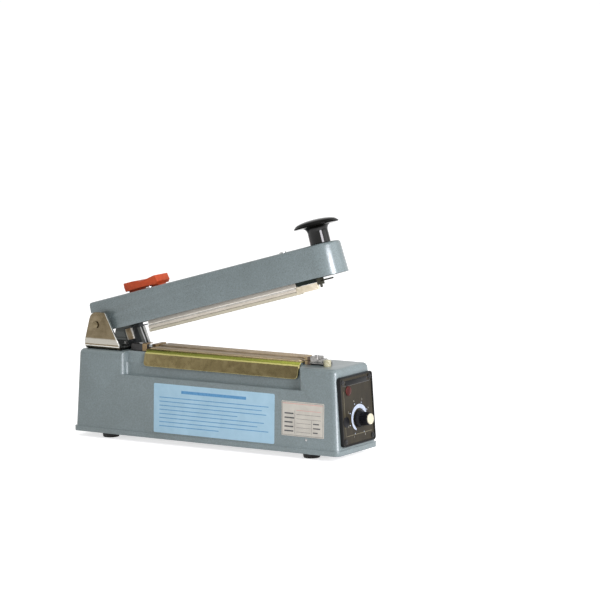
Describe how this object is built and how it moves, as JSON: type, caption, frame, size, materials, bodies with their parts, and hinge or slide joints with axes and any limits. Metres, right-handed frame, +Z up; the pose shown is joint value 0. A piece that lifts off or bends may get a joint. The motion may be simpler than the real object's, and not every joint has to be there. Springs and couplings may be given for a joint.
{
  "type": "bag heat sealer",
  "caption": "Hand impulse bag sealer: cast base with a folded sealing bed, a sprung hinged arm with a mushroom knob and sealing bar, a sliding film cutter and a timer dial.",
  "frame": {"origin": "middle of the outline's box in X and Y, at the height of the feet's undersides, with the arm standing open", "axes": "+X along the sealer from the hinge end to the timer panel, +Y from the front side to the rear side, +Z up"},
  "size_m": [0.3392, 0.0708, 0.2339],
  "materials": {
    "hammertone_paint": "hammertone grey-blue paint on cast metal",
    "yellow_zinc": "yellow passivated zinc on folded steel sheet",
    "nickel_steel": "nickel-plated sheet steel",
    "bright_steel": "bright zinc-plated steel",
    "bare_aluminium": "extruded aluminium, satin",
    "black_plastic": "black moulded plastic, satin",
    "black_rubber": "black rubber, matt",
    "red_plastic": "orange-red moulded plastic, satin",
    "ivory_plastic": "ivory moulded plastic",
    "glass_cloth": "beige coated glass cloth",
    "silicone": "pale olive silicone rubber",
    "phenolic": "tan paper-phenolic board",
    "brass": "brass, dull",
    "clear_plastic": "translucent yellowish plastic",
    "red_lens": "red lamp lens",
    "circuit_board": "green circuit board",
    "iron_core": "varnished iron laminations",
    "copper_winding": "enamelled copper winding"
  },
  "bodies": {
    "base": {"body_casting": "hammertone_paint", "base_plate": "bright_steel", "foot_front_left": "black_rubber", "foot_screw_front_left": "bright_steel", "foot_front_right": "black_rubber", "foot_screw_front_right": "bright_steel", "foot_rear_left": "black_rubber", "foot_screw_rear_left": "bright_steel", "foot_rear_right": "black_rubber", "foot_screw_rear_right": "bright_steel", "hinge_bracket": "nickel_steel", "bracket_screw_front": "bright_steel", "bracket_screw_rear": "bright_steel", "hinge_pin": "bright_steel", "pin_clip": "bright_steel", "arm_spring": "bright_steel", "bed_plate": "yellow_zinc", "bed_bar": "phenolic", "rear_pad": "glass_cloth", "heating_ribbon": "bright_steel", "release_cloth": "glass_cloth", "left_terminal_block": "black_plastic", "left_terminal_screw": "bright_steel", "right_terminal_block": "brass", "right_terminal_plate": "bright_steel", "right_terminal_clamp": "bare_aluminium", "right_terminal_screw": "bright_steel", "switch_body": "black_plastic", "transformer_core": "iron_core", "transformer_coil": "copper_winding", "inlet_bush": "black_plastic", "control_panel": "black_plastic", "panel_screw_top_front": "bright_steel", "panel_screw_top_rear": "bright_steel", "panel_screw_bottom_front": "bright_steel", "panel_screw_bottom_rear": "bright_steel", "pilot_lamp": "red_lens", "potentiometer": "bright_steel", "timer_board": "circuit_board"},
    "arm": {"arm_casting": "hammertone_paint", "mushroom_knob": "black_plastic", "mushroom_screw": "bright_steel", "seal_bar": "bare_aluminium", "silicone_strip": "silicone", "bar_hanger_1": "bright_steel", "bar_hanger_2": "bright_steel", "bar_end_plate": "phenolic", "bar_end_block": "black_plastic", "switch_striker": "bright_steel", "tension_rod": "bright_steel"},
    "cutter": {"cutter_slider": "red_plastic", "cutter_carriage": "nickel_steel", "cutter_blade": "bright_steel", "blade_clamp": "brass"},
    "timer_dial": {"timer_knob": "black_plastic", "timer_knob_cap": "ivory_plastic"},
    "button": {"switch_button": "clear_plastic"}
  },
  "joints": [
    {"name": "arm_hinge", "type": "hinge", "parent": "base", "child": "arm", "pos_m": [-0.1445, 0, 0.1147], "axis": [0, 1, 0], "range_deg": [0, 14.6], "stiffness_Nm_per_rad": 2, "springref_deg": -68.75, "deforming": ["arm_spring"]},
    {"name": "cutter_slide", "type": "slide", "parent": "arm", "child": "cutter", "axis": [0.9665, 0, 0.2568], "range_m": [0, 0.1842]},
    {"name": "timer_turn", "type": "hinge", "parent": "base", "child": "timer_dial", "pos_m": [0.1523, 0.0015, 0.03841], "axis": [0.9986, 0, 0.0523], "range_deg": [-150, 150]},
    {"name": "button_press", "type": "slide", "parent": "base", "child": "button", "axis": [0, 0, -1], "range_m": [0, 0.003], "stiffness_N_per_m": 400, "springref_m": -0.002}
  ]
}
